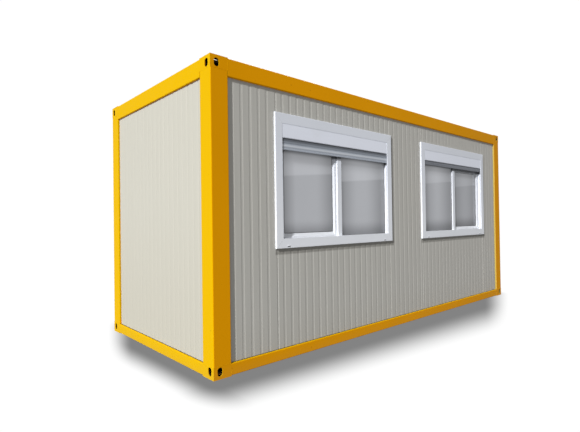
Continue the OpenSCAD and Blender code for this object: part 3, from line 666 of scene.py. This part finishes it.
door_grey, scuffed_grey = (0.60, 0.60, 0.585, 1.0), (0.55, 0.55, 0.53, 1.0)
door_paint = Finish("door_light_grey_paint", {"Specular IOR Level": 0.4})
scuff = door_paint.fade(door_paint.cloud(5.0, 5.0), 0.4, 0.8)
door_paint.feed("Base Color", door_paint.blend(scuff, door_grey, scuffed_grey))
door_paint.feed("Roughness", door_paint.patches(9.0, 3.0, 0.36, 0.5))
door_paint.feed("Normal", door_paint.relief(door_paint.cloud(300.0, 1.0), 0.12, 0.0005))
door_paint.coat("door_frame", "door_leaf")

dull_alloy, bright_alloy = (0.56, 0.56, 0.57, 1.0), (0.68, 0.68, 0.69, 1.0)
alloy = Finish("handle_satin_alloy", {"Metallic": 1.0})
brush = alloy.cloud(90.0, 2.0, (1.0, 1.0, 0.1))
alloy.feed("Base Color", alloy.blend(brush, dull_alloy, bright_alloy))
alloy.feed("Roughness", alloy.fade(brush, 0.2, 0.8, 0.25, 0.42))
alloy.coat("door_handles", "door_hinges")

seal_gap, seal_depth = 0.0015, 0.004
leaf_low, leaf_high = measured("door_leaf")
leaf_rim = rim(leaf_low[0] - seal_gap, leaf_high[0] + seal_gap,
               leaf_low[2] - seal_gap, leaf_high[2] + seal_gap, leaf_high[1] - seal_depth)
door_seal = seam_line.grow("door_seal", thread("door_seal", [leaf_rim], True),
                           {"Radius": 0.0020, "Stride": 0.05}, rubber)
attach(door_seal, "root")

lock_inset, lock_rise = 0.020, 0.062
handles_low, handles_high = measured("door_handles")
lock_x, lock_z = handles_high[0] - lock_inset, handles_low[2] + lock_rise
plate_t, barrel_r, lock_foot_half_w, lock_foot_drop = 0.006, 0.0085, 0.0050, 0.0205
slit_half_w, slit_half_h, slit_from, slit_to = 0.0007, 0.0045, 0.0020, 0.0032
lock_sections = ((-0.001, 0.0), (0.0025, 0.0), (0.0030, -0.0006))


def cylinder_ring(y, grow):
    """The outline of a lock cylinder: a round barrel over a narrow foot."""
    turns = [math.radians(degrees) for degrees in range(-145, 146, 29)]
    ring = [(barrel_r + grow) * Vector((math.sin(a), math.cos(a))) for a in turns]
    ring += [Vector((across * (lock_foot_half_w + grow), -lock_foot_drop - grow)) for across in (1, -1)]
    return [(lock_x + p.x, y, lock_z + p.y) for p in ring]


lock_shape = bmesh.new()
for plate_y, out in ((leaf_high[1] + plate_t, 1), (leaf_low[1] - plate_t, -1)):
    half = [cylinder_ring(plate_y + out * reach, grow) for reach, grow in lock_sections]
    lock_shape.from_mesh(lofted("lock_half", half))
    # Painted shade: the key slot is a thin black piece on the cylinder's face standing in for the keyway.
    slit = [rim(lock_x - slit_half_w, lock_x + slit_half_w, lock_z - slit_half_h, lock_z + slit_half_h,
                plate_y + out * reach) for reach in (slit_from, slit_to)]
    first = len(lock_shape.faces)
    lock_shape.from_mesh(lofted("key_slit", slit))
    lock_shape.faces.ensure_lookup_table()
    for face in lock_shape.faces[first:]:
        face.material_index = 1
lock_mesh = bpy.data.meshes.new("lock_cylinder")
lock_shape.to_mesh(lock_mesh)
lock_shape.free()
lock_cylinder = put("lock_cylinder", lock_mesh)
lock_mesh.materials.append(alloy.material)
lock_mesh.materials.append(rubber.material)
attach(lock_cylinder, "root")


# Ceiling and roof: a ribbed zinc-coated sheet in the well between the top rails, over a flat
# white-faced ceiling panel. Hexagon screws with washers hold the sheet down at its edges,
# one in each hollow between two ribs.

ceiling_white, ceiling_grey = (0.74, 0.74, 0.72, 1.0), (0.70, 0.70, 0.68, 1.0)
lining = Finish("ceiling_white_sheet", {})
lining.feed("Base Color", lining.blend(lining.patches(2.0, 3.0), ceiling_white, ceiling_grey))
lining.feed("Roughness", lining.patches(10.0, 2.0, 0.45, 0.55))
lining.coat("ceiling_panel")

clean_roof, rained_roof = (0.55, 0.57, 0.58, 1.0), (0.40, 0.41, 0.40, 1.0)
roof_zinc = Finish("roof_zinc", {"Metallic": 0.8})
spangle = roof_zinc.cells(38.0)
rain = roof_zinc.fade(roof_zinc.cloud(1.6, 5.0, (3.0, 0.5, 1.0)), 0.35, 0.75)
roof_zinc.feed("Base Color", roof_zinc.blend(rain, clean_roof, rained_roof))
roof_zinc.feed("Roughness", roof_zinc.fade(spangle, 0.1, 0.7, 0.36, 0.52))
roof_zinc.feed("Normal", roof_zinc.relief(spangle, 0.08, 0.0004))
roof_zinc.coat("roof_sheet")

new_screw, old_screw = (0.62, 0.62, 0.60, 1.0), (0.46, 0.46, 0.45, 1.0)
screw_zinc = Finish("screw_bright_zinc", {"Metallic": 1.0})
screw_zinc.feed("Base Color", screw_zinc.blend(screw_zinc.cloud(120.0, 2.0), new_screw, old_screw))
screw_zinc.feed("Roughness", screw_zinc.patches(200.0, 2.0, 0.3, 0.5))


def screw_ring(radius, z, hexagon):
    """Twelve points round a screw, on a circle or on the six flats of its head."""
    ring = []
    for i in range(12):
        reach = radius * (1.0 if not hexagon or i % 2 == 0 else 0.866)
        ring.append((reach * math.cos(i * math.pi / 6), reach * math.sin(i * math.pi / 6), z))
    return ring


washer = ((0.0080, -0.0005), (0.0080, 0.0010), (0.0074, 0.0015))
hex_head = ((0.0055, 0.0015), (0.0055, 0.0050), (0.0046, 0.0056))
screw_rings = [screw_ring(radius, z, False) for radius, z in washer]
screw_rings += [screw_ring(radius, z, True) for radius, z in hex_head]
screw_count, screw_pitch, screw_inset, sheet_t = 29, 0.2, 0.0335, 0.002
roof_low, roof_high = measured("roof_sheet")
first_screw_x = -screw_pitch * (screw_count - 1) / 2
for side, y in (("front", roof_low[1] + screw_inset), ("rear", roof_high[1] - screw_inset)):
    screws = row.grow("roof_screws_" + side, lofted("roof_screws_" + side, screw_rings),
                      {"Count": screw_count, "First": (first_screw_x, y, roof_low[2] + sheet_t),
                       "Step": (screw_pitch, 0.0, 0.0)}, screw_zinc)
    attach(screws, "root")


# Studio: a wide pale floor with a soft shade painted round what stands on it, a key light from the
# left with a weaker one from the far side, an even pale surround, and the camera at the
# photograph's place. The painted shade stops along two lines on the floor that pass the cabin's ends.

floor_size = 60.0
floor_mesh = bpy.data.meshes.new("studio_floor")
floor_shape = bmesh.new()
bmesh.ops.create_grid(floor_shape, x_segments=2, y_segments=2, size=floor_size / 2)
floor_shape.to_mesh(floor_mesh)
floor_shape.free()
studio_floor = put("studio_floor", floor_mesh)

white_light = (1.0, 1.0, 1.0, 1.0)
lines_x, lines_y = 5.0, 4.46
under_inset = 0.0375
pale_floor = Finish("studio_pale_floor",
                    {"Base Color": black, "Specular IOR Level": 0.0, "Emission Strength": 1.02})
floor_x, floor_y = pale_floor.along("X"), pale_floor.along("Y")
end_reach = pale_floor.fade(floor_y, -1.3, 1.3, 0.525, 0.745)
long_reach = 0.925 + 0.145 * (floor_x + half_l).math("MAXIMUM", 0.0) * (floor_y < 0.0)
off_x = (abs(floor_x) - half_l).math("MAXIMUM", 0.0) / end_reach
off_y = (abs(floor_y) - half_w).math("MAXIMUM", 0.0) / long_reach
away = (off_x * off_x + off_y * off_y - off_x * off_y * 0.35).math("SQRT")
# Painted shadow: the floor darkens round the cabin's footprint and almost to black beneath it.
painted_shade_beneath = (abs(floor_x) < half_l - under_inset) * (abs(floor_y) < half_w - under_inset)
left_end = pale_floor.fade((floor_x + lines_x) / (floor_y + lines_y), 0.328, 0.388)
right_end = pale_floor.fade((floor_y + lines_y) / (floor_x + lines_x).math("MAXIMUM", 0.1), 0.382, 0.443)
lifted = 1.0 - (1.0 - pale_floor.fade(away, 0.155, 0.750, 0.223, 1.0)) * left_end * right_end
seen = pale_floor.add("ShaderNodeLightPath", {}, {}, "Is Camera Ray")
level = seen * lifted * (1.0 - painted_shade_beneath * 0.96) + (1.0 - seen) * 0.3725
pale_floor.feed("Emission Color", pale_floor.blend(level, black, white_light))
floor_mesh.materials.append(pale_floor.material)

surround = bpy.data.worlds.new("studio_surround")
surround.use_nodes = True
sky = Net(surround.node_tree)
backdrop = sky.tree.nodes["Background"]
looked_at = sky.add("ShaderNodeLightPath", {}, {}, "Is Camera Ray")
sky.tree.links.new((looked_at * 0.66 + 0.36).socket, backdrop.inputs["Strength"])
backdrop.inputs["Color"].default_value = white_light
bpy.context.scene.world = surround

lights = (("key_light", 4.5, 4.0, (-0.8218, -0.2651, 0.5037)), ("fill_light", 1.7, 25.0, (0.58, 0.66, 0.48)))
for name, strength, spread, towards in lights:
    light = put(name, bpy.data.lights.new(name, "SUN"))
    light.data.energy = strength
    light.data.angle = math.radians(spread)
    light.rotation_euler = Vector(towards).to_track_quat("Z", "Y").to_euler()

camera = put("camera", bpy.data.cameras.new("camera"))
camera.data.sensor_width = 36.0
camera.data.lens = 26.3625
camera_place = (-5.00098, -4.46372, 1.40050)
right = Vector((0.74634629, -0.66540899, -0.01407455))
up = Vector((0.00322875, -0.01752689, 0.99984118))
behind = Vector((-0.66554999, -0.74627320, -0.01093269))
turn = Matrix((right, up, behind)).transposed()
camera.matrix_world = Matrix.Translation(camera_place) @ turn.to_4x4()
bpy.context.scene.camera = camera
bpy.context.scene.view_settings.view_transform = "Standard"
